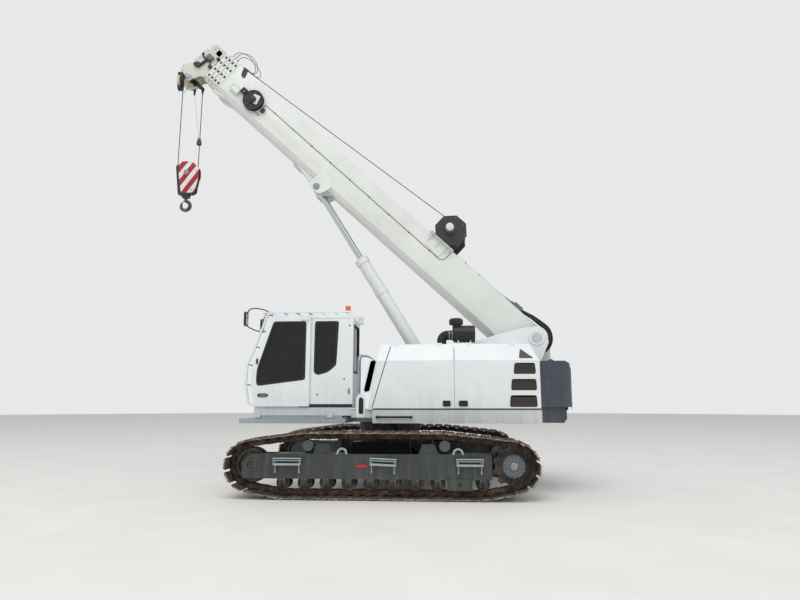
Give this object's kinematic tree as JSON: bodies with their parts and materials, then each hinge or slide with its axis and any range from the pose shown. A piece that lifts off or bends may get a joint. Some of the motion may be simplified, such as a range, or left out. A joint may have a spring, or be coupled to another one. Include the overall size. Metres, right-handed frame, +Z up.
{
  "type": "telescopic crawler crane",
  "caption": "Crawler crane with slewing upper part, side cab, telescoping boom, luffing cylinder, hoist winch and hook block on two steel tracks",
  "frame": {"origin": "middle of the overall box on the ground; the slewing axis stands at x = 0.7528 m, y = 0", "axes": "-X is the way the machine faces and the boom points, +X the counterweight, -Y the cab side (the operator's left), +Z up"},
  "size_m": [8.5655, 4.36, 10.0598],
  "materials": {
    "painted_white": "gloss",
    "boom_white": "gloss",
    "sill_grey": "satin",
    "frame_grey": "satin",
    "slate_grey": "satin",
    "galvanised": "matte",
    "track_steel": "matte",
    "roller_steel": "matte",
    "dark_metal": "satin",
    "black_plastic": "matte",
    "tinted_glass": "gloss",
    "chrome": "gloss",
    "wire_rope": "matte",
    "hook_red_white": "gloss",
    "hook_steel": "matte",
    "lamp_body": "gloss",
    "cab_trim": "matte"
  },
  "bodies": {
    "undercarriage": {"carbody": "frame_grey", "track_frame_left": "frame_grey", "track_frame_right": "frame_grey", "track_left": "track_steel", "track_right": "track_steel", "rollers_left": "roller_steel", "rollers_right": "roller_steel", "tumblers": "track_steel", "final_drives": "dark_metal", "side_steps": "galvanised"},
    "upper": {"upper_frame": "sill_grey", "counterweight": "slate_grey", "engine_block": "dark_metal", "hood_left": "painted_white", "hood_right": "painted_white", "walkway": "galvanised", "air_cleaner": "black_plastic", "cab_shell": "painted_white", "cab_glass": "tinted_glass", "cab_guard": "painted_white", "cab_fittings": "black_plastic", "cab_interior": "cab_trim", "lamps": "lamp_body"},
    "door": {"cab_door": "painted_white", "door_glass": "tinted_glass"},
    "flap_lf": {"flap_left_front": "painted_white"},
    "flap_lr": {"flap_left_rear": "painted_white"},
    "flap_rf": {"flap_right_front": "painted_white"},
    "flap_rr": {"flap_right_rear": "painted_white"},
    "boom": {"boom_base": "boom_white", "winch_frame": "sill_grey"},
    "drum": {"winch_drum": "dark_metal"},
    "reel": {"cable_reel": "black_plastic"},
    "section_2": {"boom_section_2": "boom_white"},
    "section_3": {"boom_section_3": "boom_white"},
    "section_4": {"boom_section_4": "boom_white", "boom_head": "boom_white"},
    "head_wheel": {"head_sheave": "black_plastic"},
    "rod": {"luff_rod": "chrome"},
    "barrel": {"luff_barrel": "sill_grey"},
    "falls": {"rope_anchor": "dark_metal", "hoist_falls": "wire_rope"},
    "block": {"hook_block": "hook_red_white"},
    "block_wheel": {"block_sheave": "black_plastic"},
    "hook": {"hook": "hook_steel"}
  },
  "joints": [
    {"name": "slew", "type": "hinge", "parent": "undercarriage", "child": "upper", "pos_m": [0.75275, 0, 1.2], "axis": [0, 0, 1], "continuous": true},
    {"name": "luff", "type": "hinge", "parent": "upper", "child": "boom", "pos_m": [3.80275, 0, 3], "axis": [0, 1, 0], "range_deg": [-38.2, 36.8]},
    {"name": "telescope", "type": "slide", "parent": "boom", "child": "section_4", "axis": [-0.729, 0, 0.6845], "range_m": [0, 20.4]},
    {"name": "telescope_2", "type": "slide", "parent": "boom", "child": "section_2", "axis": [-0.729, 0, 0.6845], "range_m": [0, 6.8]},
    {"name": "telescope_3", "type": "slide", "parent": "boom", "child": "section_3", "axis": [-0.729, 0, 0.6845], "range_m": [0, 13.6]},
    {"name": "rod_eye", "type": "hinge", "parent": "boom", "child": "rod", "pos_m": [-0.87703, 0, 6.42063], "axis": [0, 1, 0], "range_deg": [-2, 2]},
    {"name": "rod_slide", "type": "slide", "parent": "rod", "child": "barrel", "axis": [0.52, 0, -0.8542], "range_m": [-1.38, 1.33]},
    {"name": "rope_plumb", "type": "hinge", "parent": "section_4", "child": "falls", "pos_m": [-4.04275, 0, 9.29741], "axis": [0, 1, 0], "range_deg": [-40, 40]},
    {"name": "hoist", "type": "slide", "parent": "falls", "child": "block", "axis": [0, 0, -1], "range_m": [-0.35, 5.5], "deforming": ["hoist_falls"]},
    {"name": "hook_swivel", "type": "hinge", "parent": "block", "child": "hook", "pos_m": [-4.01475, 0, 6.26741], "axis": [0, 0, 1], "continuous": true},
    {"name": "block_sheave_spin", "type": "hinge", "parent": "block", "child": "block_wheel", "pos_m": [-4.01475, 0, 6.96741], "axis": [0, 1, 0], "continuous": true},
    {"name": "head_sheave_spin", "type": "hinge", "parent": "section_4", "child": "head_wheel", "pos_m": [-4.04275, 0, 9.29741], "axis": [0, 1, 0], "continuous": true},
    {"name": "winch_spin", "type": "hinge", "parent": "boom", "child": "drum", "pos_m": [2.08553, 0, 5.32592], "axis": [0, 1, 0], "continuous": true},
    {"name": "reel_spin", "type": "hinge", "parent": "boom", "child": "reel", "pos_m": [-2.36758, -0.46, 8.48979], "axis": [0, 1, 0], "continuous": true},
    {"name": "door_slide", "type": "slide", "parent": "upper", "child": "door", "axis": [1, 0, 0], "range_m": [0, 0.78]},
    {"name": "flap_lf_hinge", "type": "hinge", "parent": "upper", "child": "flap_lf", "pos_m": [1.25275, -1.23, 2.8173], "axis": [-1, 0, 0], "range_deg": [0, 75]},
    {"name": "flap_lr_hinge", "type": "hinge", "parent": "upper", "child": "flap_lr", "pos_m": [2.85275, -1.23, 2.8173], "axis": [-1, 0, 0], "range_deg": [0, 75]},
    {"name": "flap_rf_hinge", "type": "hinge", "parent": "upper", "child": "flap_rf", "pos_m": [1.25275, 1.23, 2.8173], "axis": [1, 0, 0], "range_deg": [0, 75]},
    {"name": "flap_rr_hinge", "type": "hinge", "parent": "upper", "child": "flap_rr", "pos_m": [2.85275, 1.23, 2.8173], "axis": [1, 0, 0], "range_deg": [0, 75]}
  ],
  "couplings": [
    {"joint": "telescope_2", "follows": "telescope", "ratio": 0.33333},
    {"joint": "telescope_3", "follows": "telescope", "ratio": 0.66667},
    {"joint": "rod_eye", "follows": "luff", "ratio": 0.05},
    {"joint": "rod_slide", "follows": "luff", "m_per_rad": 2.0627},
    {"joint": "rope_plumb", "follows": "luff", "ratio": -1}
  ]
}
